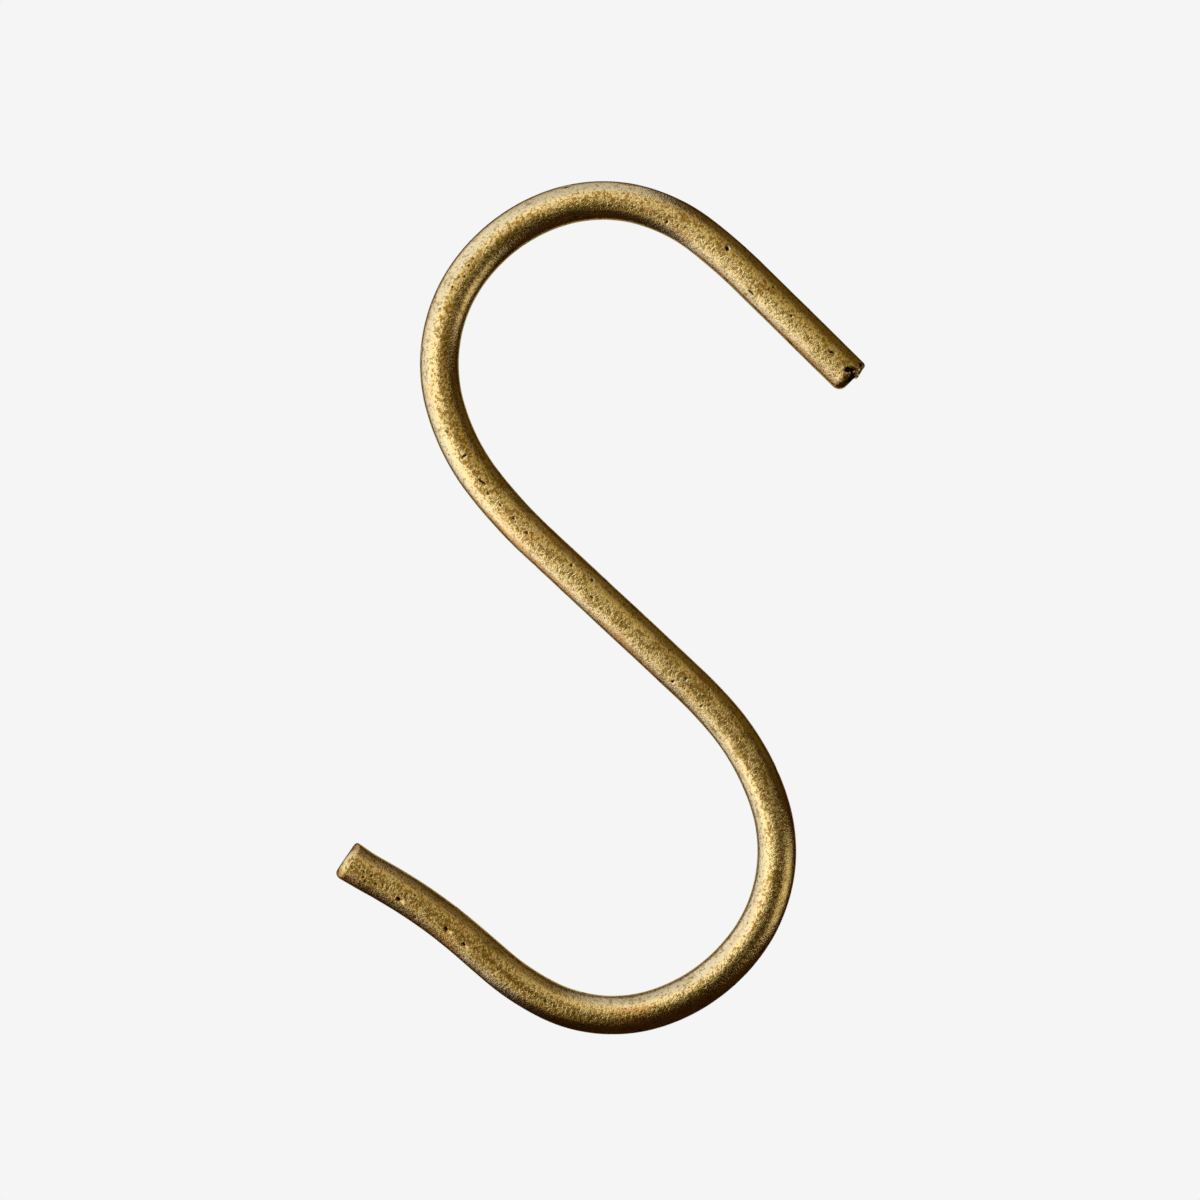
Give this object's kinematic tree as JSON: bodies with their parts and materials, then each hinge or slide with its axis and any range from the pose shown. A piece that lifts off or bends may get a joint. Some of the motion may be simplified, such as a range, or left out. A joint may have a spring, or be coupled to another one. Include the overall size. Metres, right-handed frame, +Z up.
{
  "type": "s hook",
  "caption": "S-shaped hanging hook bent from round brass rod, with two open bends of unequal curve, a straight shank and bluntly cut ends, one flared outwards.",
  "frame": {"origin": "rail seat, the point on the inner side of the upper bend's crown that rests on the rail", "axes": "+Z up as the hook hangs, +X from the rail seat towards the upper tip, and Y across the flat of the S, so that the rod lies in the XZ plane and the picture looks along +Y"},
  "size_m": [0.0544, 0.004, 0.0875],
  "materials": {
    "aged_brass": "satin antique patina, finely mottled and pitted, bare and unlacquered"
  },
  "bodies": {
    "root": {"s_hook": "aged_brass"}
  },
  "joints": []
}
